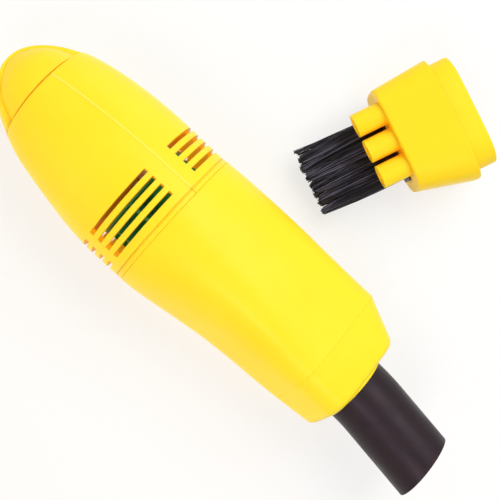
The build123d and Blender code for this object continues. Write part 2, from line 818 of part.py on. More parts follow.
# Impeller: a back plate with a hub and swept blades
blade_tip = fan_radius - blade_tip_inset
blade_middle = (blade_root + blade_tip) / 2
blade_radii = (blade_root, blade_middle, blade_tip)
with BuildSketch() as blade:
    with BuildLine():
        leading = ThreePointArc(*[blade_point(radius, 1) for radius in blade_radii])
        trailing = ThreePointArc(*[blade_point(radius, -1) for radius in blade_radii])
        Line(leading @ 0, trailing @ 0)
        Line(leading @ 1, trailing @ 1)
    make_face()

with BuildPart() as impeller:
    extrude(ring(across(fan_start), fan_radius), amount=fan_plate)
    extrude(ring(across(fan_start), fan_hub), amount=fan_width)
    with BuildSketch(across(fan_start)):
        with PolarLocations(0, blade_count):
            add(blade.sketch)
    extrude(amount=fan_width)
    extrude(ring(across(fan_start), shaft_radius), amount=fan_width, mode=Mode.SUBTRACT)
impeller.part.label = "impeller"
export_step(impeller.part, "parts/impeller.step")

# Motor plate: carries the motor, and its rim rests on the shells' seat
screw_points = [(0, plate_screw_circle), (0, -plate_screw_circle)]
with BuildPart() as motor_plate:
    with BuildSketch(across(motor_front)):
        Circle(plate_radius)
        Circle(bearing_radius + can_wall + fit_gap, mode=Mode.SUBTRACT)
        with Locations(screw_points):
            Circle(plate_screw_radius + fit_gap, mode=Mode.SUBTRACT)
    extrude(amount=plate_thickness)
motor_plate.part.label = "motor_plate"
export_step(motor_plate.part, "parts/motor_plate.step")

# Plate screws: two, through the plate into the can's front wall
with BuildPart() as plate_screws:
    with BuildSketch(across(front_wall_start)):
        with Locations(screw_points):
            Circle(plate_screw_radius)
    extrude(amount=can_wall + plate_thickness)
    with BuildSketch(across(plate_front)):
        with Locations(screw_points):
            Circle(plate_screw_head)
    extrude(amount=plate_screw_head_height)
    for side, seam in screw_points:
        slot_plane = across(plate_front + plate_screw_head_height)
        with BuildSketch(slot_plane):
            with Locations((side, seam)):
                Rectangle(2 * plate_screw_head, screw_slot_width)
        extrude(amount=-screw_slot_depth, mode=Mode.SUBTRACT)
plate_screws.part.label = "plate_screws"
export_step(plate_screws.part, "parts/plate_screws.step")

# Switch body, held between the upper shell's two ribs
stem_bottom = switch_top - stem_reach
with BuildPart() as switch_body:
    with BuildSketch(parting.offset(switch_bottom)):
        with Locations((switch_at, 0)):
            Rectangle(switch_length, switch_width)
    extrude(amount=switch_depth)
    with BuildSketch(parting.offset(stem_bottom - knob_gap)):
        with Locations((switch_at, 0)):
            Rectangle(slot_length, slot_width)
    extrude(amount=switch_depth, mode=Mode.SUBTRACT)
switch_body.part.label = "switch_body"
export_step(switch_body.part, "parts/switch_body.step")

# Switch contacts: a row of pins under the body
pin_places = [switch_at + (pin - (pin_count - 1) / 2) * pin_pitch for pin in range(pin_count)]
with BuildPart() as switch_contacts:
    with BuildSketch(parting.offset(switch_bottom - pin_length)):
        with Locations([(x, 0) for x in pin_places]):
            Rectangle(pin_width, pin_width)
    extrude(amount=pin_length)
switch_contacts.part.label = "switch_contacts"
export_step(switch_contacts.part, "parts/switch_contacts.step")

# Switch slider, drawn at the end of its travel nearer the tail
knob_bottom = pocket_floor + knob_gap
knob_top = knob_bottom + knob_height
with BuildPart() as switch_slider:
    with BuildSketch(parting.offset(stem_bottom)):
        with Locations((knob_rest, 0)):
            Rectangle(stem_length, stem_width)
    extrude(amount=knob_bottom - stem_bottom)
    with BuildSketch(parting.offset(knob_bottom)):
        with Locations((knob_rest, 0)):
            RectangleRounded(knob_length, knob_width, knob_width / 4)
    extrude(amount=knob_height)
    with BuildSketch(parting.offset(knob_top - knob_rib_depth)):
        for rib in range(knob_rib_count):
            with Locations((knob_rest + (rib - (knob_rib_count - 1) / 2) * knob_rib_pitch, 0)):
                Rectangle(knob_rib_width, 2 * knob_width)
    extrude(amount=knob_height, mode=Mode.SUBTRACT)
switch_slider.part.label = "switch_slider"
export_step(switch_slider.part, "parts/switch_slider.step")

# Motor lead: from one terminal round the can to the first switch pin
lead_start_x = motor_back - terminal_reach + 2 * lead_radius
lead_points = [
    place(lead_start_x, terminal_width / 2, terminal_at),
    place(lead_start_x, motor_radius - lead_turn_inset, terminal_at),
    place(motor_back + lead_turn_run, motor_radius + lead_rise, lead_turn_in),
    place(pin_places[0] - pin_width / 2 - lead_end_gap, switch_bottom - pin_length + lead_radius, 0),
]
lead_bends = []
for before, corner, after in zip(lead_points, lead_points[1:], lead_points[2:]):
    turn = (corner - before).get_angle(after - corner)
    run = min((corner - before).length, (after - corner).length)
    lead_bends.append(lead_bend_share * run / tan(radians(turn / 2)))
print("motor lead bends", [round(bend, 1) for bend in lead_bends])
with BuildLine() as lead_path:
    FilletPolyline(*lead_points, radius=lead_bends)
lead_start = Plane(origin=lead_points[0], z_dir=lead_points[1] - lead_points[0])
with BuildPart() as motor_lead:
    sweep(ring(lead_start, lead_radius), path=lead_path.line)
motor_lead.part.label = "motor_lead"
export_step(motor_lead.part, "parts/motor_lead.step")
lead_length = sum(edge.length for edge in lead_path.line.edges())
print("motor lead", round(motor_lead.part.volume / (pi * lead_radius**2), 2), round(lead_length, 2))

# Brush head: its underside lies flat on the table, so the whole head tips forward by its taper
head_pitch = atan2(head_half_height - head_front_half_height, head_length)
yaw = radians(head_yaw)
head_way = Vector(cos(yaw) * cos(head_pitch), sin(yaw) * cos(head_pitch), sin(head_pitch))
head_origin = Vector(*head_front, head_front_half_height * cos(head_pitch))
head_plane = Plane(origin=head_origin, x_dir=(-sin(yaw), cos(yaw), 0), z_dir=head_way)
bar_width = bristle_field_width + 2 * bar_wall
bar_height = bristle_field_height + 2 * bar_wall
bar_point = (bristle_shift, -bristle_drop)
pipe_points = [
    (pipe_shift + (pipe - (pipe_count - 1) / 2) * pipe_pitch, pipe_rise) for pipe in range(pipe_count)
]
head_throat_side = collar_half_side - collar_wall
head_throat_seam = collar_half_seam - collar_wall


def head_level(along, shift):
    """A plane square to the head, this far behind its front face and this far to the side."""
    middle = head_plane.from_local_coords((shift, 0, along))
    return Plane(origin=middle, x_dir=head_plane.x_dir, z_dir=head_way)


with BuildPart() as brush_head:
    front_face = oval(head_plane, head_front_half_width, head_front_half_height)
    back_face = oval(head_level(head_length, head_back_shift), head_half_width, head_half_height)
    loft(sections=[front_face, back_face])
    fillet(edges().sort_by_distance(head_origin)[0], head_round)
    collar_level = head_level(head_length, head_collar_shift)
    extrude(oval(collar_level, collar_half_side, collar_half_seam), amount=head_collar_length)
    inner_front = oval(
        head_plane.offset(head_wall), head_front_half_width - head_wall, head_front_half_height - head_wall
    )
    throat = oval(collar_level, head_throat_side, head_throat_seam)
    loft(sections=[inner_front, throat], mode=Mode.SUBTRACT)
    extrude(throat, amount=head_collar_length, mode=Mode.SUBTRACT)
    with BuildSketch(head_plane.offset(-pipe_length)):
        with Locations(pipe_points):
            Circle(pipe_radius)
    extrude(amount=pipe_length + head_wall)
    with BuildSketch(head_plane.offset(-pipe_length)):
        with Locations(pipe_points):
            Circle(pipe_radius - pipe_wall)
    extrude(amount=pipe_length + head_wall, mode=Mode.SUBTRACT)
    with BuildSketch(head_plane.offset(-bar_proud)):
        with Locations(bar_point):
            Rectangle(bar_width + 2 * bar_gap, bar_height + 2 * bar_gap)
    extrude(amount=bar_depth + bar_proud, mode=Mode.SUBTRACT)
brush_head.part.label = "brush_head"
export_step(brush_head.part, "parts/brush_head.step")

# Bristle bar: a block pressed into the head's front, with a pocket for the bristles' backing
with BuildPart() as bristle_bar:
    with BuildSketch(head_plane.offset(-bar_proud)):
        with Locations(bar_point):
            Rectangle(bar_width, bar_height)
    extrude(amount=bar_depth)
    with BuildSketch(head_plane.offset(-bar_proud)):
        with Locations(bar_point):
            Rectangle(bristle_field_width, bristle_field_height)
    extrude(amount=bristle_backing, mode=Mode.SUBTRACT)
bristle_bar.part.label = "bristle_bar"
export_step(bristle_bar.part, "parts/bristle_bar.step")


def wander(column, row, phase):
    """A spread of values between -1 and 1 that changes slowly from one bristle to the next."""
    return sin(0.7 * column + phase) * cos(0.9 * row + 2 * phase)


bristle_columns = bristles_in_bunch * bunch_count


def bristle(column, row):
    """One slim bristle, from its root in the backing to its tip, drawn towards the middle of its bunch."""
    root_x = ((column + 0.5) / bristle_columns - 0.5) * (bristle_field_width - 2 * bar_wall)
    root_y = ((row + 0.5) / bristle_rows - 0.5) * (bristle_field_height - 2 * bar_wall)
    bunch = column // bristles_in_bunch
    bunch_x = ((bunch + 0.5) / bunch_count - 0.5) * (bristle_field_width - 2 * bar_wall)
    drawn_x = root_x + (bunch_x - root_x) * bunch_draw
    tip_x = bristle_spread * drawn_x + bristle_sway * wander(column, row, 0)
    tip_y = bristle_spread * root_y + bristle_sway * wander(column, row, 1)
    length = bristle_length + bristle_ragged / 2 * wander(column, row, 2)
    root_along = -bar_proud + bristle_backing / 2
    root = head_plane.from_local_coords((bristle_shift + root_x, root_y - bristle_drop, root_along))
    tip = head_plane.from_local_coords((bristle_shift + tip_x, tip_y - bristle_drop, -length))
    with BuildSketch(Plane(origin=root, x_dir=head_plane.x_dir, z_dir=tip - root)) as section:
        RegularPolygon(bristle_radius, bristle_sides, rotation=180 / bristle_sides)
    return extrude(section.sketch, amount=(tip - root).length, mode=Mode.PRIVATE)


# Bristles, fused to the slice of backing that sits in the bar's pocket
strands = [bristle(column, row) for column in range(bristle_columns) for row in range(bristle_rows)]
with BuildPart() as brush_bristles:
    with BuildSketch(head_plane.offset(-bar_proud)):
        with Locations(bar_point):
            Rectangle(bristle_field_width, bristle_field_height)
    extrude(amount=bristle_backing)
    add(strands)
brush_bristles.part.label = "brush_bristles"
export_step(brush_bristles.part, "parts/brush_bristles.step")
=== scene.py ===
"""A small desk vacuum cleaner with a soft nozzle, and its loose brush head.

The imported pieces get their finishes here, and new pieces stand for those that the frame leaves plain.
Lengths are in metres. X runs from the tail to the nozzle, Z is up, and the origin is on the table below the
joint of the shells and the dust cup.
"""

import json
import random
from math import atan2, cos, pi, radians, sin

import bpy
from mathutils import Matrix, Vector


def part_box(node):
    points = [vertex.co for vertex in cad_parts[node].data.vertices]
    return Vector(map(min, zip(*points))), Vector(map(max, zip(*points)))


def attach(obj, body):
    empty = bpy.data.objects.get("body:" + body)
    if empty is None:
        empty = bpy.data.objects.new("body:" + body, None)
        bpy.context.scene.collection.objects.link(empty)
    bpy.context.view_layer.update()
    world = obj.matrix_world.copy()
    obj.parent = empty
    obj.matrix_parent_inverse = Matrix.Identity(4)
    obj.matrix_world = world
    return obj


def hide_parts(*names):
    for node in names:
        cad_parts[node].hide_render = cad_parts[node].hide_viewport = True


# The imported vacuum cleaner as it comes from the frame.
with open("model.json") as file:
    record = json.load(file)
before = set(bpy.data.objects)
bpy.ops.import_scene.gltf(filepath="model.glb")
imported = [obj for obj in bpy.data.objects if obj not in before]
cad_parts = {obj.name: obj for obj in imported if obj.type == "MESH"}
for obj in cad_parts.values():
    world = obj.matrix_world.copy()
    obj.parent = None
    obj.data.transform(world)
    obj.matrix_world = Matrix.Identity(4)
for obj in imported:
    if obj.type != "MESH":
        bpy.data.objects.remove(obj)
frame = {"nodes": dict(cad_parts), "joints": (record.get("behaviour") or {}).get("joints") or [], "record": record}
nodes = frame["nodes"]
joints = {joint["name"]: joint for joint in frame["joints"]}
mounts = {mount["name"]: mount for mount in frame["record"]["mounts"]}
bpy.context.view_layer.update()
bpy.ops.object.select_all(action="DESELECT")

# The camera stands almost straight above the table, turned so that the body runs from the upper left to the
# lower right of a square picture. Its place and lens come from the outline of the body in the photograph.
view_roll = radians(6.26)
view_tilt = radians(1.918)
view_turn = radians(42.315)
view_distance = 0.29111
view_target = Vector((0.0096, 0.0, 0.0226))
view_offset = (0.01196, 0.008325)
picture_side = 500
focal_pixels = 1014.227
across_body = Vector((0, cos(view_roll), sin(view_roll)))
out_of_body = Vector((0, -sin(view_roll), cos(view_roll)))
along_body = Vector((cos(view_tilt), 0, 0)) + out_of_body * sin(view_tilt)
towards_camera = Vector((-sin(view_tilt), 0, 0)) + out_of_body * cos(view_tilt)
camera_right = along_body * cos(view_turn) + across_body * sin(view_turn)
camera_up = -along_body * sin(view_turn) + across_body * cos(view_turn)
camera_place = (
    view_target + along_body * view_offset[0] + across_body * view_offset[1] + towards_camera * view_distance
)
bpy.ops.object.camera_add()
camera = bpy.context.object
camera.name = "camera"
camera.data.sensor_width = 36
camera.data.lens = camera.data.sensor_width * focal_pixels / picture_side
camera.data.clip_start = 0.005
turn = Matrix((camera_right, camera_up, towards_camera)).transposed().to_4x4()
camera.matrix_world = Matrix.Translation(camera_place) @ turn
bpy.context.scene.camera = camera


def node(tree, kind, inputs=None, **settings):
    """Adds one shader node. Each input takes a value, or the socket that it is linked to."""
    made = tree.nodes.new("ShaderNode" + kind)
    for key, value in settings.items():
        setattr(made, key, value)
    for key, value in (inputs or {}).items():
        if isinstance(value, bpy.types.NodeSocket):
            tree.links.new(value, made.inputs[key])
        else:
            made.inputs[key].default_value = value
    return made


def new_material(name):
    """An empty material and its node tree."""
    material = bpy.data.materials.new(name)
    material.use_nodes = True
    material.node_tree.nodes.clear()
    return material, material.node_tree


# The table is a plain white board under the vacuum cleaner, and white paper hangs all round it. Both look
# white to the camera and in gloss, and the board keeps the soft shadow of what lies on it. It lies a hair
# below the lowest faces, so that no two faces share a plane.
table_side = 3.0
table_drop = 0.00002
table_white = (0.9, 0.9, 0.9, 1.0)
paper_white = (1, 1, 1, 1)
shadow_share = 0.3
room_light = 0.5


def seen_plainly(tree):
    """The socket of a mask: 1 for what the camera, gloss or clear plastic sees, 0 for other light."""
    light_path = node(tree, "LightPath").outputs
    seen = node(tree, "Math", {0: light_path["Is Camera Ray"], 1: light_path["Is Glossy Ray"]})
    seen = node(tree, "Math", {0: seen.outputs[0], 1: light_path["Is Transmission Ray"]}, use_clamp=True)
    return seen.outputs[0]


bpy.ops.mesh.primitive_plane_add(size=table_side, location=(0, 0, -table_drop))
table_top = bpy.context.object
table_top.name = "table_top"
table_paint, tree = new_material("table_paint")
whiteness = node(tree, "Math", {0: seen_plainly(tree), 1: 1 - shadow_share}, operation="MULTIPLY")
board = node(tree, "BsdfDiffuse", {"Color": table_white})
glow = node(tree, "Emission", {"Color": paper_white, "Strength": 1.0})
mixed = node(tree, "MixShader", {0: whiteness.outputs[0], 1: board.outputs[0], 2: glow.outputs[0]})
node(tree, "OutputMaterial", {"Surface": mixed.outputs[0]})
table_top.data.materials.append(table_paint)
room = bpy.data.worlds.new("room")
room.use_nodes = True
room.node_tree.nodes.clear()
tree = room.node_tree
level = node(tree, "MapRange", {"Value": seen_plainly(tree), "To Min": room_light, "To Max": 1.0})
paper = node(tree, "Background", {"Color": paper_white, "Strength": level.outputs[0]})
node(tree, "OutputWorld", {"Surface": paper.outputs[0]})
bpy.context.scene.world = room
bpy.context.scene.view_settings.view_transform = "Standard"

# Four soft studio lamps: a large one above the switch side, a narrow one past the nozzle that lights the nose
# and the tube, a low one that brightens the edge of the switch side, and a warm one low on the belly side,
# where the yellow shell goes towards orange.
lamps = (
    ("key_lamp", (0.04, 0.34, 0.54), 0.0, 0.45, 180, 2.15, (1.0, 0.99, 0.96)),
    ("nozzle_lamp", (0.24, -0.27, 0.42), 0.1, 0.3, 34, 0.055, (0.97, 0.93, 1.0)),
    ("edge_lamp", (-0.16, 0.42, 0.1), -0.04, 0.3, 180, 0.28, (1.0, 1.0, 1.0)),
    ("warm_lamp", (-0.22, -0.38, 0.16), 0.0, 0.3, 180, 0.8, (1.0, 0.68, 0.3)),
)
lamp_target_height = 0.02
for name, stand, aim, size, beam, power, colour in lamps:
    bpy.ops.object.light_add(type="AREA", location=stand)
    lamp = bpy.context.object
    lamp.name = name
    lamp.data.shape = "DISK"
    lamp.data.size = size
    lamp.data.spread = radians(beam)
    lamp.data.energy = power
    lamp.data.color = colour
    towards = Vector((aim, 0, lamp_target_height)) - Vector(stand)
    lamp.rotation_euler = towards.to_track_quat("-Z", "Y").to_euler()


def new_group(name, inputs, outputs):
    """An empty shader node group. Inputs and outputs are (name, kind, first value) and (name, kind)."""
    group = bpy.data.node_groups.new(name, "ShaderNodeTree")
    for label, kind, value in inputs:
        socket = group.interface.new_socket(label, in_out="INPUT", socket_type="NodeSocket" + kind)
        socket.default_value = value
    for label, kind in outputs:
        group.interface.new_socket(label, in_out="OUTPUT", socket_type="NodeSocket" + kind)
    return group, group.nodes.new("NodeGroupInput").outputs, group.nodes.new("NodeGroupOutput").inputs


def mixed_colour(tree, share, first, second):
    """The socket of a blend between two colours."""
    return node(tree, "Mix", {0: share, 6: first, 7: second}, data_type="RGBA").outputs[2]


def spread(tree, value, low, high, to_low, to_high):
    """The socket of a value brought from one range to another."""
    ranges = {"Value": value, "From Min": low, "From Max": high, "To Min": to_low, "To Max": to_high}
    return node(tree, "MapRange", ranges).outputs[0]


# Skin of every moulded or drawn part: slow drift of tone from the way that the plastic flowed, a fine texture
# from the mould, patches that use has rubbed smooth, and edges that are a little round and paler, partly from wear
# and partly as a painted highlight.
drift_range = (0.35, 0.65)
edge_range = (0.99, 0.8)
rub_scale = 160.0
rub_range = (0.3, 0.7)
moulded_skin, given, put_out = new_group(
    "moulded_skin",
    [
        ("Colour", "Color", (0.8, 0.8, 0.8, 1)),
        ("Drift Colour", "Color", (0.7, 0.7, 0.7, 1)),
        ("Edge Colour", "Color", (0.9, 0.9, 0.9, 1)),
        ("Drift Scale", "Float", 45.0),
        ("Drift", "Float", 0.5),
        ("Roughness", "Float", 0.4),
        ("Rubbing", "Float", 0.08),
        ("Texture Scale", "Float", 2600.0),
        ("Texture Height", "Float", 0.00001),
        ("Edge Radius", "Float", 0.0003),
        ("Edge Wear And Highlight", "Float", 0.4),
    ],
    [("Colour", "Color"), ("Roughness", "Float"), ("Normal", "Vector")],
)
place_on = node(moulded_skin, "TexCoord").outputs["Object"]
drift_noise = node(
    moulded_skin, "TexNoise", {"Vector": place_on, "Scale": given["Drift Scale"], "Detail": 3.0}
)
drift_share = spread(moulded_skin, drift_noise.outputs[0], *drift_range, 0.0, given["Drift"])
drifted = mixed_colour(moulded_skin, drift_share, given["Colour"], given["Drift Colour"])
# The edge mask mixes in the Edge Colour: partly wear, partly a painted highlight along every edge.
rounded = node(moulded_skin, "Bevel", {"Radius": given["Edge Radius"]}, samples=6).outputs[0]
flat_normal = node(moulded_skin, "NewGeometry").outputs["Normal"]
sameness = node(moulded_skin, "VectorMath", {0: rounded, 1: flat_normal}, operation="DOT_PRODUCT")
edge_wear_and_highlight_share = spread(moulded_skin, sameness.outputs["Value"], *edge_range, 0.0, given["Edge Wear And Highlight"])
worn_and_highlit = mixed_colour(moulded_skin, edge_wear_and_highlight_share, drifted, given["Edge Colour"])
rub_noise = node(moulded_skin, "TexNoise", {"Vector": place_on, "Scale": rub_scale, "Detail": 4.0})
rubbed = spread(moulded_skin, rub_noise.outputs[0], *rub_range, -1.0, 1.0)
rubbed = node(
    moulded_skin, "Math", {0: rubbed, 1: given["Rubbing"], 2: given["Roughness"]}, operation="MULTIPLY_ADD"
)
texture = node(moulded_skin, "TexNoise", {"Vector": place_on, "Scale": given["Texture Scale"], "Detail": 2.0})
textured = {"Distance": given["Texture Height"], "Height": texture.outputs[0], "Normal": rounded}
moulded_skin.links.new(worn_and_highlit, put_out["Colour"])
moulded_skin.links.new(rubbed.outputs[0], put_out["Roughness"])
moulded_skin.links.new(node(moulded_skin, "Bump", textured).outputs[0], put_out["Normal"])

# Painted shade and painted glow for coloured plastic, in place of light that gets through it: corners and
# joints are painted a deeper tone from an ambient occlusion mask, and the walls inside a closed shell, which no
# lamp reaches, are given an emitted glow. A narrow joint glows in its own tone.
painted_shade_range = (0.35, 0.78)
painted_glow_range = (0.15, 0.45)
joint_glow_range = (0.02, 0.14)
painted_shade_glow, given, put_out = new_group(
    "painted_shade_glow",
    [
        ("Colour", "Color", (0.8, 0.8, 0.8, 1)),
        ("Painted Shade Colour", "Color", (0.8, 0.4, 0.1, 1)),
        ("Painted Glow Colour", "Color", (0.8, 0.4, 0.1, 1)),
        ("Painted Joint Glow Colour", "Color", (0.8, 0.4, 0.1, 1)),
        ("Corner Reach", "Float", 0.003),
        ("Hollow Reach", "Float", 0.02),
    ],
    [("Colour", "Color"), ("Glow", "Color")],
)
# Painted shade: close corners and joints get a deeper colour from an ambient occlusion mask.
openness = node(painted_shade_glow, "AmbientOcclusion", {"Distance": given["Corner Reach"]}, samples=8).outputs["AO"]
painted_shade_share = spread(painted_shade_glow, openness, *painted_shade_range, 1.0, 0.0)
colour_with_painted_shade = mixed_colour(painted_shade_glow, painted_shade_share, given["Colour"], given["Painted Shade Colour"])
painted_shade_glow.links.new(colour_with_painted_shade, put_out["Colour"])
# Painted glow: walls far from open air emit a glow colour, and narrow joints their own glow tone.
far_openness = node(painted_shade_glow, "AmbientOcclusion", {"Distance": given["Hollow Reach"]}, samples=8).outputs["AO"]
painted_glow_share = spread(painted_shade_glow, far_openness, *painted_glow_range, 1.0, 0.0)
joint_glow_share = spread(painted_shade_glow, openness, *joint_glow_range, 1.0, 0.0)
painted_wall_glow = mixed_colour(painted_shade_glow, joint_glow_share, given["Painted Glow Colour"], given["Painted Joint Glow Colour"])
painted_glow = mixed_colour(painted_shade_glow, painted_glow_share, (0, 0, 0, 1), painted_wall_glow)
painted_shade_glow.links.new(painted_glow, put_out["Glow"])


def moulded_material(name, skin, shader, shade_and_glow=None):
    """A material from the moulded skin. skin and the third argument give the values of the skin group and of the
    painted shade and glow group, shader the shader's own.
    """
    material, tree = new_material(name)
    worked = node(tree, "Group", skin, node_tree=moulded_skin).outputs
    linked = {"Base Color": worked["Colour"], "Roughness": worked["Roughness"], "Normal": worked["Normal"]}
    if shade_and_glow:
        lit = node(tree, "Group", {**shade_and_glow, "Colour": worked["Colour"]}, node_tree=painted_shade_glow).outputs
        linked.update({"Base Color": lit["Colour"], "Emission Color": lit["Glow"]})
    principled = node(tree, "BsdfPrincipled", {**shader, **linked})
    node(tree, "OutputMaterial", {"Surface": principled.outputs[0]})
    return material


def dress(material, *names):
    """Gives CAD nodes a material."""
    for name in names:
        mesh = nodes[name].data
        mesh.materials.clear()
        mesh.materials.append(material)


# Shells, tail cap, dust cup and nose cap: bright yellow ABS, injection moulded in polished tools, satin with
# a soft gloss. The two shells are screwed together round the motor, and the cup and nose push onto each
# other. Their corners get painted shade, and their joints and closed insides a painted glow, paler in the cup and
# the nose and deeper orange in the shells.
yellow_skin = {
    "Colour": (1.0, 0.775, 0.03, 1),
    "Drift Colour": (1.0, 0.74, 0.02, 1),
    "Edge Colour": (1.0, 0.86, 0.1, 1),
    "Drift": 0.7,
    "Roughness": 0.34,
    "Rubbing": 0.05,
    "Texture Height": 0.000006,
    "Edge Radius": 0.00035,
    "Edge Wear And Highlight": 0.35,
}
yellow_shader = {
    "Subsurface Weight": 0.1,
    "Subsurface Radius": (1.0, 0.45, 0.08),
    "Subsurface Scale": 0.0025,
    "Specular IOR Level": 0.12,
    # How bright the painted glow in joints and closed insides shines.
    "Emission Strength": 0.5,
}
shell_painted_shade_and_glow = {
    "Painted Shade Colour": (0.8, 0.44, 0.003, 1),
    "Painted Glow Colour": (0.6, 0.2, 0.003, 1),
    "Painted Joint Glow Colour": (0.42, 0.21, 0.002, 1),
}
shell_plastic = moulded_material("shell_plastic", yellow_skin, yellow_shader, shell_painted_shade_and_glow)
dress(shell_plastic, "upper_shell", "lower_shell", "tail_cap")
cup_painted_shade_and_glow = {
    "Painted Shade Colour": (0.97, 0.68, 0.014, 1),
    "Painted Glow Colour": (1.0, 0.62, 0.01, 1),
    "Painted Joint Glow Colour": (0.96, 0.64, 0.012, 1),
}
cup_plastic = moulded_material("cup_plastic", yellow_skin, yellow_shader, cup_painted_shade_and_glow)
dress(cup_plastic, "dust_cup", "nose_cap")

# Motor plate: a disc of the same yellow plastic, browned by the warm motor and by dust from its brushes. The
# motor is screwed to it, and its rim rests on a seat inside the shells.
plate_skin = {
    **yellow_skin,
    "Colour": (0.7, 0.3, 0.015, 1),
    "Drift Colour": (0.4, 0.14, 0.01, 1),
    "Roughness": 0.5,
}
# Painted shade in the plate's corners, and a painted glow in its joints and closed insides.
plate_painted_shade_and_glow = {
    "Painted Shade Colour": (0.42, 0.14, 0.004, 1),
    "Painted Glow Colour": (0.3, 0.07, 0.002, 1),
    "Painted Joint Glow Colour": (0.3, 0.1, 0.002, 1),
}
dress(moulded_material("plate_plastic", plate_skin, yellow_shader, plate_painted_shade_and_glow), "motor_plate")

# The body's own directions. It lies rolled over, with the parting line of its shells up and its switch to one
# side.
body_roll = radians(20)
shaft_height = joints["fan_spin"]["pos_m"][2]
side_way = Vector((0, cos(body_roll), -sin(body_roll)))
seam_way = Vector((0, sin(body_roll), cos(body_roll)))


def place(x, side, seam):
    """A point of the body, at x and this far to the switch side and to the parting line."""
    return Vector((x, 0, shaft_height)) + side_way * side + seam_way * seam


def wire(name, routes, radius, order=3, resolution=6, roundness=2, tip_share=1.0):
    """One or more round wires or strands as one piece, each on its own route, drawn in towards its end."""
    curve = bpy.data.curves.new(name, "CURVE")
    curve.dimensions = "3D"
    curve.bevel_depth = radius
    curve.bevel_resolution = roundness
    curve.resolution_u = resolution
    curve.use_fill_caps = True
    for route in routes:
        spline = curve.splines.new("NURBS")
        spline.points.add(len(route) - 1)
        for step, point in enumerate(spline.points):
            point.co = (*route[step], 1.0)
            point.radius = 1 + (tip_share - 1) * step / (len(route) - 1)
        spline.use_endpoint_u = True
        spline.order_u = order
    piece = bpy.data.objects.new(name, curve)
    bpy.context.collection.objects.link(piece)
    bpy.context.view_layer.objects.active = piece
    piece.select_set(True)
    bpy.ops.object.convert(target="MESH")
    bpy.ops.object.shade_smooth()
    piece.select_set(False)
    return piece


def finish_piece(piece, material, body):
    """Gives a new piece its material and the body that it moves with."""
    piece.data.materials.clear()
    piece.data.materials.append(material)
    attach(piece, body)


# Seam lips: a low bead of yellow plastic along each parting line, where the edges of the two shells close up.
# It stands almost two tenths of a millimetre proud beside the gap, from the tail cap to the groove near the
# cup, and the whole bead is painted paler than the shells, a painted highlight along the seam.
lip_radius = 0.0003
lip_proud = 0.00018
lip_shift = 0.0002
lip_start = -0.0508
lip_end = -0.0021
lip_steps = 26


def lip_point(x, way):
    """A point just under the shell's skin, on the parting line."""
    above = place(x, lip_shift, 0) + way * shaft_height * 2
    skin_point = nodes["upper_shell"].ray_cast(above, -way)[1]
    return skin_point - way * (lip_radius - lip_proud)


lip_places = [lip_start + (lip_end - lip_start) * step / lip_steps for step in range(lip_steps + 1)]
lip_routes = [[lip_point(x, way) for x in lip_places] for way in (seam_way, -seam_way)]
seam_lips = wire("seam_lips", lip_routes, lip_radius, resolution=2)
# The bead's paler yellow is a painted highlight along the seam.
highlit_lip_plastic = moulded_material(
    "highlit_lip_plastic",
    {
        "Colour": (1.0, 0.86, 0.12, 1),
        "Drift Colour": (1.0, 0.81, 0.07, 1),
        "Edge Colour": (1.0, 0.9, 0.2, 1),
        "Roughness": 0.3,
        "Texture Height": 0.000006,
    },
    {"Specular IOR Level": 0.12},
)
finish_piece(seam_lips, highlit_lip_plastic, "root")

# Nozzle: a short length of soft PVC tube, cut off at a slant and pushed into the nose. Its skin is satin,
# dark grey with a purple cast, and a little uneven from the hot die.
tube_plastic = moulded_material(
    "tube_plastic",
    {
        "Colour": (0.012, 0.007, 0.01, 1),
        "Drift Colour": (0.017, 0.008, 0.008, 1),
        "Edge Colour": (0.045, 0.036, 0.045, 1),
        "Drift Scale": 220.0,
        "Drift": 0.8,
        "Roughness": 0.42,
        "Rubbing": 0.08,
        "Texture Scale": 1700.0,
        "Texture Height": 0.00002,
        "Edge Radius": 0.0002,
        "Edge Wear And Highlight": 0.5,
    },
    {"Specular IOR Level": 0.22, "Specular Tint": (1.0, 0.86, 1.0, 1)},
)
dress(tube_plastic, "nozzle_tube")

# Switch and its knob, the motor's end cap and the bar of the bristles: black plastic, injection moulded and
# satin. The bush that lines the cord's hole in the tail is black rubber, matt, and pushed into its place.
dark_plastic = moulded_material(
    "dark_plastic",
    {
        "Colour": (0.02, 0.02, 0.022, 1),
        "Drift Colour": (0.028, 0.026, 0.027, 1),
        "Edge Colour": (0.07, 0.07, 0.07, 1),
        "Roughness": 0.42,
    },
    {},
)
dress(dark_plastic, "switch_body", "switch_slider", "motor_end_cap", "bristle_bar")
bush_rubber = moulded_material(
    "bush_rubber",
    {
        "Colour": (0.018, 0.018, 0.018, 1),
        "Drift Colour": (0.03, 0.029, 0.028, 1),
        "Edge Colour": (0.045, 0.045, 0.045, 1),
        "Drift Scale": 400.0,
        "Roughness": 0.7,
        "Texture Height": 0.00003,
    },
    {},
)
dress(bush_rubber, "cord_bush")

# Fan: moulded in a clear-toned green plastic, glossy, with swept blades on a back plate. It is pressed onto
# the motor's shaft and shows through the slots of the shells. Its corners get painted shade and its faces a faint
# painted glow, in place of light through the green plastic.
fan_plastic = moulded_material(
    "fan_plastic",
    {
        "Colour": (0.02, 0.3, 0.12, 1),
        "Drift Colour": (0.03, 0.38, 0.17, 1),
        "Edge Colour": (0.16, 0.6, 0.38, 1),
        "Drift Scale": 120.0,
        "Roughness": 0.22,
    },
    {"Emission Strength": 0.03},
    {
        "Painted Shade Colour": (0.008, 0.11, 0.035, 1),
        "Painted Glow Colour": (0.03, 0.4, 0.14, 1),
        "Painted Joint Glow Colour": (0.02, 0.3, 0.1, 1),
    },
)
dress(fan_plastic, "impeller")

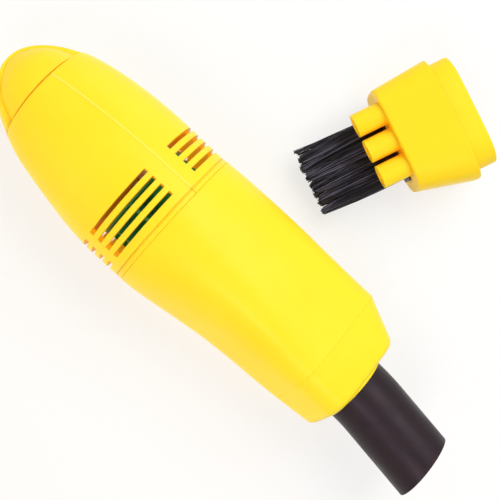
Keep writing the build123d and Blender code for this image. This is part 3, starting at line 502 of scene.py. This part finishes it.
# Filter frame: a white plastic ring with six spokes, pushed into the mouth of the dust cup as far as a ledge.
# It keeps the dust in the cup, away from the fan.
frame_plastic = moulded_material(
    "frame_plastic",
    {
        "Colour": (0.78, 0.78, 0.74, 1),
        "Drift Colour": (0.7, 0.7, 0.65, 1),
        "Edge Colour": (0.9, 0.9, 0.88, 1),
        "Roughness": 0.4,
    },
    {},
)
dress(frame_plastic, "filter_frame")

# Filter cloth: a disc of fine white nylon gauze, welded to the back of the frame's rim and drawn a little
# towards the fan between the spokes.
cloth_low, cloth_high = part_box("filter_mesh")
cloth_margin = 0.0001
cloth_radius = (cloth_high[1] - cloth_low[1]) / 2 - cloth_margin
cloth_place = (cloth_low[0] + cloth_high[0]) / 2
cloth_thickness = 0.00016
cloth_rings = 16
cloth_bulge = 0.0005
even_sag = 0.45
spoke_sag = 0.55
cloth_spokes = 6
thread_pitch = 0.0005
thread_height = 0.00006
wave_radians = 20  # what a wave texture of scale 1 turns through in a metre
soil_scale = 260.0
bpy.ops.mesh.primitive_circle_add(
    vertices=96, radius=cloth_radius, location=(cloth_place, 0, shaft_height), rotation=(0, pi / 2, 0)
)
filter_cloth = bpy.context.object
filter_cloth.name = "filter_cloth"
bpy.ops.object.transform_apply(location=False, rotation=True, scale=True)
bpy.ops.object.mode_set(mode="EDIT")
for ring in range(cloth_rings - 1, 0, -1):
    bpy.ops.mesh.extrude_edges_move()
    share = ring / (ring + 1)
    bpy.ops.transform.resize(value=(share, share, share), center_override=(cloth_place, 0, shaft_height))
bpy.ops.mesh.edge_face_add()
bpy.ops.mesh.poke()
bpy.ops.mesh.select_all(action="SELECT")
bpy.ops.mesh.normals_make_consistent(inside=False)
bpy.ops.object.mode_set(mode="OBJECT")
# A flat disc has no outside, so its faces may point either way. They are turned towards the fan.
if filter_cloth.data.polygons[0].normal.x > 0:
    filter_cloth.data.flip_normals()
for vertex in filter_cloth.data.vertices:
    across, up = vertex.co.y, vertex.co.z
    reach = min(1, (across**2 + up**2) ** 0.5 / cloth_radius)
    spoke_angle = atan2(up, across) + body_roll
    sag = (1 - reach**2) * (even_sag + spoke_sag * abs(sin(spoke_angle * cloth_spokes / 2)) * reach)
    vertex.co.x -= cloth_bulge * sag
bpy.ops.object.transform_apply(location=True, rotation=False, scale=False)
solidify = filter_cloth.modifiers.new("thickness", "SOLIDIFY")
solidify.thickness = cloth_thickness
bpy.ops.object.modifier_apply(modifier=solidify.name)
bpy.ops.object.shade_smooth()
filter_cloth.select_set(False)
gauze, tree = new_material("gauze")
place_on = node(tree, "TexCoord").outputs["Object"]
threads = []
for direction in ("Y", "Z"):
    stripes = {"Vector": place_on, "Scale": 2 * pi / (wave_radians * thread_pitch)}
    threads.append(node(tree, "TexWave", stripes, bands_direction=direction).outputs["Fac"])
weave = node(tree, "Math", {0: threads[0], 1: threads[1]}, operation="MAXIMUM").outputs[0]
gauze_soil = node(tree, "TexNoise", {"Vector": place_on, "Scale": soil_scale, "Detail": 3.0}).outputs[0]
soil_share = spread(tree, gauze_soil, 0.4, 0.75, 0.0, 0.6)
thread_colour = mixed_colour(tree, soil_share, (0.8, 0.8, 0.76, 1), (0.62, 0.6, 0.55, 1))
thread_share = spread(tree, weave, 0.35, 0.75, 0.0, 1.0)
gauze_colour = mixed_colour(tree, thread_share, (0.3, 0.3, 0.29, 1), thread_colour)
gauze_bump = node(tree, "Bump", {"Height": weave, "Distance": thread_height})
gauze_shader = node(
    tree,
    "BsdfPrincipled",
    {"Base Color": gauze_colour, "Roughness": 0.75, "Sheen Weight": 0.3, "Normal": gauze_bump.outputs[0]},
)
node(tree, "OutputMaterial", {"Surface": gauze_shader.outputs[0]})
finish_piece(filter_cloth, gauze, "cup")
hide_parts("filter_mesh")

# Screws, shaft and switch pins: plain turned steel, a little clouded, and paler at the edges from wear and a
# painted highlight. The motor's can is drawn from zinc plated sheet, which is paler.
screw_steel = moulded_material(
    "screw_steel",
    {
        "Colour": (0.5, 0.5, 0.51, 1),
        "Drift Colour": (0.36, 0.36, 0.38, 1),
        "Edge Colour": (0.7, 0.7, 0.7, 1),
        "Drift Scale": 500.0,
        "Roughness": 0.3,
        "Edge Radius": 0.0001,
    },
    {"Metallic": 1.0},
)
dress(screw_steel, "shell_screw", "plate_screws", "motor_shaft", "switch_contacts")
can_steel = moulded_material(
    "can_steel",
    {
        "Colour": (0.62, 0.62, 0.64, 1),
        "Drift Colour": (0.5, 0.51, 0.54, 1),
        "Edge Colour": (0.75, 0.75, 0.75, 1),
        "Drift Scale": 140.0,
        "Roughness": 0.34,
    },
    {"Metallic": 1.0},
)
dress(can_steel, "motor_can")

# Inside the motor: pressed iron sheets, dark ferrite magnets, brass tabs and commutator, bronze bearings and
# carbon brushes. The capacitor beside them is dipped in orange brown resin.
core_iron = moulded_material(
    "core_iron",
    {
        "Colour": (0.2, 0.2, 0.21, 1),
        "Drift Colour": (0.13, 0.13, 0.14, 1),
        "Edge Colour": (0.4, 0.4, 0.4, 1),
        "Drift Scale": 300.0,
        "Roughness": 0.45,
    },
    {"Metallic": 0.9},
)
dress(core_iron, "armature_core")
magnet_ferrite = moulded_material(
    "magnet_ferrite",
    {
        "Colour": (0.05, 0.05, 0.055, 1),
        "Drift Colour": (0.08, 0.078, 0.08, 1),
        "Edge Colour": (0.14, 0.14, 0.14, 1),
        "Drift Scale": 600.0,
        "Roughness": 0.62,
    },
    {},
)
dress(magnet_ferrite, "motor_magnets")
brass = moulded_material(
    "brass",
    {
        "Colour": (0.72, 0.5, 0.18, 1),
        "Drift Colour": (0.55, 0.36, 0.14, 1),
        "Edge Colour": (0.85, 0.68, 0.35, 1),
        "Drift Scale": 500.0,
        "Roughness": 0.3,
    },
    {"Metallic": 1.0},
)
dress(brass, "motor_terminals", "commutator", "front_bushing", "rear_bushing")
carbon = moulded_material(
    "carbon",
    {
        "Colour": (0.03, 0.03, 0.032, 1),
        "Drift Colour": (0.06, 0.06, 0.06, 1),
        "Edge Colour": (0.12, 0.12, 0.12, 1),
        "Drift Scale": 900.0,
        "Roughness": 0.5,
    },
    {},
)
dress(carbon, "motor_brushes")
capacitor_clay = moulded_material(
    "capacitor_clay",
    {
        "Colour": (0.55, 0.2, 0.04, 1),
        "Drift Colour": (0.45, 0.15, 0.03, 1),
        "Edge Colour": (0.7, 0.35, 0.12, 1),
        "Drift Scale": 500.0,
        "Roughness": 0.35,
    },
    {},
)
dress(capacitor_clay, "motor_capacitor")

# Coils: enamelled copper wire, wound turn by turn in layers round the neck of each of the core's three poles,
# where its own tension holds it.
copper_wire = moulded_material(
    "copper_wire",
    {
        "Colour": (0.62, 0.2, 0.06, 1),
        "Drift Colour": (0.5, 0.14, 0.04, 1),
        "Edge Colour": (0.8, 0.4, 0.2, 1),
        "Drift Scale": 700.0,
        "Roughness": 0.28,
    },
    {"Metallic": 1.0},
)
pole_count = 3
coil_wire_radius = 0.00016
coil_pitch = 0.00034
coil_turns = 8
coil_layers = 4
coil_foot = 0.0038
neck_half_width = 0.0011
neck_margin = 0.0003
core_low, core_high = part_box("armature_core")


def coil_route(pole):
    """The route of one coil: out along the neck and in again, a layer wider each time."""
    angle = 2 * pi * pole / pole_count
    outward = side_way * cos(angle) + seam_way * sin(angle)
    sideways = -side_way * sin(angle) + seam_way * cos(angle)
    route = []
    for turn in range(coil_layers * coil_turns):
        layer, step = divmod(turn, coil_turns)
        if layer % 2:
            step = coil_turns - 1 - step
        rise = coil_foot + step * coil_pitch
        grown = neck_margin + layer * coil_pitch
        width = neck_half_width + grown
        back = core_low[0] - grown
        front = core_high[0] + grown
        for x, y in ((back, -width), (front, -width), (front, width), (back, width)):
            route.append(place(x, 0, 0) + outward * rise + sideways * y)
    return route


coil_routes = [coil_route(pole) for pole in range(pole_count)]
armature_coils = wire("armature_coils", coil_routes, coil_wire_radius, order=2, resolution=1, roundness=1)
finish_piece(armature_coils, copper_wire, "rotor")
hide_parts("armature_windings")

# Motor lead: one soft wire in a red skin, soldered at both ends. It runs from the motor's upper terminal
# round the can to the first switch pin.
wire_skin = moulded_material(
    "wire_skin",
    {
        "Colour": (0.45, 0.02, 0.015, 1),
        "Drift Colour": (0.38, 0.015, 0.012, 1),
        "Edge Colour": (0.6, 0.08, 0.06, 1),
        "Roughness": 0.42,
    },
    {},
)
lead_radius = 0.0005
lead_route = [
    place(-0.0422, 0.0012, 0.007),
    place(-0.0422, 0.009, 0.007),
    place(-0.04, 0.0139, 0.0039),
    place(-0.03408, 0.01437, 0.0),
]
red_lead = wire("red_lead", [lead_route], lead_radius, resolution=10, roundness=3)
finish_piece(red_lead, wire_skin, "root")
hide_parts("motor_lead")

# Brush head: the same plastic from another batch, a shade deeper, moulded in one with its collar and pipes.
# It is a loose piece that stands beside the vacuum cleaner.
brush_skin = {**yellow_skin, "Colour": (1.0, 0.725, 0.025, 1), "Drift Colour": (1.0, 0.69, 0.018, 1)}
brush_shader = {**yellow_shader, "Specular IOR Level": 0.08}
# Painted shade in the head's corners and round its pipes, and a painted glow in its joints.
brush_painted_shade_and_glow = {
    "Painted Shade Colour": (0.95, 0.52, 0.005, 1),
    "Painted Glow Colour": (0.4, 0.1, 0.002, 1),
    "Painted Joint Glow Colour": (0.7, 0.35, 0.003, 1),
}
dress(moulded_material("brush_plastic", brush_skin, brush_shader, brush_painted_shade_and_glow), "brush_head")

# The brush head's own directions, from its collar: back through the collar, to one side, and up.
head_back = Vector(mounts["brush_collar"]["axis"]).normalized()
head_side = Vector((-head_back.y, head_back.x, 0)).normalized()
head_up = head_back.cross(head_side)
head_depth = 0.0238
collar_offset = -0.0016
head_front = Vector(mounts["brush_collar"]["pos_m"]) - head_back * head_depth - head_side * collar_offset


def head_place(side, up, back):
    """A point of the brush head, counted from the middle of its front face."""
    return head_front + head_side * side + head_up * up + head_back * back


# Bristles: black nylon strands set in two staggered rows of bunches. Each bunch draws in to a soft point, a
# few strands stray, and one thin lock stands off at the upper side.
random.seed(7)
field_width = 0.0226
field_height = 0.0086
field_drop = 0.0032
field_shift = -0.0005
strand_length = 0.0284
strand_radius = 0.00014
strands_in_bunch = 74
bunch_rows = (6, 7)
bunch_half_width = 0.0024
bunch_half_height = 0.0024
bunch_flatness = 0.8
bunch_margin = 0.0012
strand_margin = 0.0004
bunch_lengths = (-0.0006, 0.0004)
outer_shortness = 0.0011
length_spread = 0.00015
field_spread = 0.95
tip_shift = -0.0003
bunch_shares = (1.0, 1.08, 0.95, 0.5)
strand_shares = (0.0, 0.36, 0.72, 1.0)
stray = 0.00022
strand_root = 0.0002
lock_strands = 34
lock_root = 0.0098
lock_tip = 0.0112
lock_width = 0.0016
lock_up = 0.0016
lock_root_spread = (0.0002, 0.0004)
lock_tip_spread = 0.0002
lock_shortness = 0.0012


def strand_route(middle, root, tip, length):
    """A strand's route. It keeps its share of the bunch's half width, which changes along the bunch."""
    route = []
    for along, width in zip(strand_shares, bunch_shares):
        side = middle[0] + (tip[0] - middle[0]) * along + root[0] * width
        up = middle[1] + (tip[1] - middle[1]) * along + root[1] * width
        side += random.gauss(0, stray) * along
        up += random.gauss(0, stray) * along
        route.append(head_place(field_shift + side, up - field_drop, strand_root - length * along))
    return route


strand_routes = []
for row, bunch_count in enumerate(bunch_rows):
    up = (0.5 - row) * field_height / 2
    for bunch in range(bunch_count):
        side = ((bunch + 0.5) / bunch_count - 0.5) * (field_width - bunch_margin)
        tip_side = side * field_spread + tip_shift + random.gauss(0, stray)
        tip = (tip_side, up * field_spread + random.gauss(0, stray))
        half_width = min(bunch_half_width, field_width / 2 - strand_margin - abs(side))
        bunch_length = strand_length + random.uniform(*bunch_lengths)
        for strand in range(strands_in_bunch):
            angle = random.uniform(0, 2 * pi)
            reach = random.random() ** 0.5
            root = (half_width * reach * cos(angle), bunch_half_height * bunch_flatness * reach * sin(angle))
            length = bunch_length - outer_shortness * reach**2 + random.gauss(0, length_spread)
            strand_routes.append(strand_route((side, up), root, tip, length))
for strand in range(lock_strands):
    share = strand / (lock_strands - 1)
    root = (random.gauss(0, lock_root_spread[0]), random.gauss(0, lock_root_spread[1]))
    tip = (lock_tip - lock_width * share**2, lock_up + random.gauss(0, lock_tip_spread))
    length = strand_length - lock_shortness * share
    strand_routes.append(strand_route((lock_root, lock_up), root, tip, length))
bristles = wire("bristles", strand_routes, strand_radius, order=4, resolution=2, roundness=0, tip_share=0.7)

# The strands' backing: the block of black nylon that they are cast into, pressed into the bar's pocket.
backing_margin = 0.00005
backing_depth = 0.001
backing_back = 0.0004
backing_bevel = 0.0002
bpy.ops.mesh.primitive_cube_add(size=1)
backing = bpy.context.object
backing.scale = (field_width - backing_margin, field_height - backing_margin, backing_depth)
bpy.ops.object.transform_apply(location=False, rotation=False, scale=True)
backing.data.transform(Matrix((head_side, head_up, head_back)).transposed().to_4x4())
backing_place = head_place(field_shift, -field_drop, backing_back - backing_depth / 2)
backing.data.transform(Matrix.Translation(backing_place))
bevel = backing.modifiers.new("worn_edges", "BEVEL")
bevel.width = backing_bevel
bevel.segments = 2
bpy.ops.object.modifier_apply(modifier=bevel.name)
bristles.select_set(True)
bpy.context.view_layer.objects.active = bristles
bpy.ops.object.join()
bristles.select_set(False)

# The bristles' finish: black, with a cool violet sheen painted into the colour as pale streaks along the
# bunches. Each strand differs a little in tone, which also varies the painted sheen.
streak_scale = 620.0
streak_stretch = (1, 8, 1)
painted_sheen_range = (0.22, 0.46)
bristle_nylon, tree = new_material("bristle_nylon")
strand_tone = node(tree, "NewGeometry").outputs["Random Per Island"]
place_on = node(tree, "TexCoord").outputs["Object"]
streak_turn = (0, 0, atan2(head_side.y, head_side.x))
streak_mapping = {"Vector": place_on, "Rotation": streak_turn, "Scale": streak_stretch}
streak_place = node(tree, "Mapping", streak_mapping, vector_type="TEXTURE").outputs[0]
sheen_streaks = node(tree, "TexNoise", {"Vector": streak_place, "Scale": streak_scale, "Detail": 2.0}).outputs[0]
tone = node(tree, "Math", {0: strand_tone, 1: sheen_streaks}, operation="MULTIPLY").outputs[0]
# The pale violet tone is a painted sheen, in streaks along the bunches and varied by strand.
painted_sheen_share = spread(tree, tone, *painted_sheen_range, 0.0, 1.0)
nylon_colour_with_painted_sheen = mixed_colour(tree, painted_sheen_share, (0.004, 0.003, 0.004, 1), (0.15, 0.14, 0.21, 1))
nylon_shader = node(
    tree,
    "BsdfPrincipled",
    {
        "Base Color": nylon_colour_with_painted_sheen,
        "Roughness": spread(tree, strand_tone, 0.0, 1.0, 0.3, 0.55),
        "Specular IOR Level": 0.3,
    },
)
node(tree, "OutputMaterial", {"Surface": nylon_shader.outputs[0]})
finish_piece(bristles, bristle_nylon, "brush")
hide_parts("brush_bristles")
